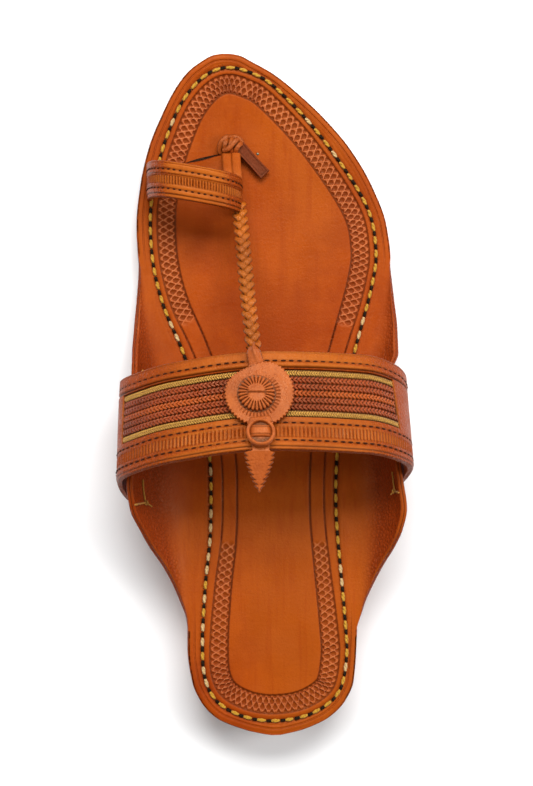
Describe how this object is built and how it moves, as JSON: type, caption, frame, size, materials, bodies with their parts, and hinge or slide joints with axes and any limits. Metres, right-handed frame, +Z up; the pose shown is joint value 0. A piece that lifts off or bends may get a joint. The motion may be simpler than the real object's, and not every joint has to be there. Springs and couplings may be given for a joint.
{
  "type": "kolhapuri sandal",
  "caption": "Flat leather slip-on sandal for the right foot: pointed sole with low heel, side ears, broad arched instep band, plaited centre strap and big-toe loop.",
  "frame": {"origin": "middle of the footprint box, on the floor plane under heel and forefoot", "axes": "+Y towards the toe, +X towards the outer side of the right foot, +Z up"},
  "size_m": [0.1226, 0.286, 0.0811],
  "materials": {
    "sole_leather": "burnished edge",
    "insole_leather": "oiled vegetable-tanned, satin",
    "strap_leather": "oiled vegetable-tanned, satin",
    "braid_leather": "fine plaited thong",
    "thong_leather": "dark thong",
    "gold_braid": "metallic thread braid",
    "stitch_thread": "twisted thread",
    "dark_thread": "waxed thread"
  },
  "bodies": {
    "root": {"outsole": "sole_leather", "heel": "sole_leather", "insole": "insole_leather", "instep_band": "strap_leather", "toe_strap": "strap_leather", "braid": "braid_leather", "leaf": "strap_leather", "medallion": "strap_leather", "rosette": "strap_leather", "keeper": "strap_leather", "knot": "braid_leather", "tie_loop": "strap_leather", "tail_lateral": "thong_leather", "tail_medial": "strap_leather"}
  },
  "joints": []
}
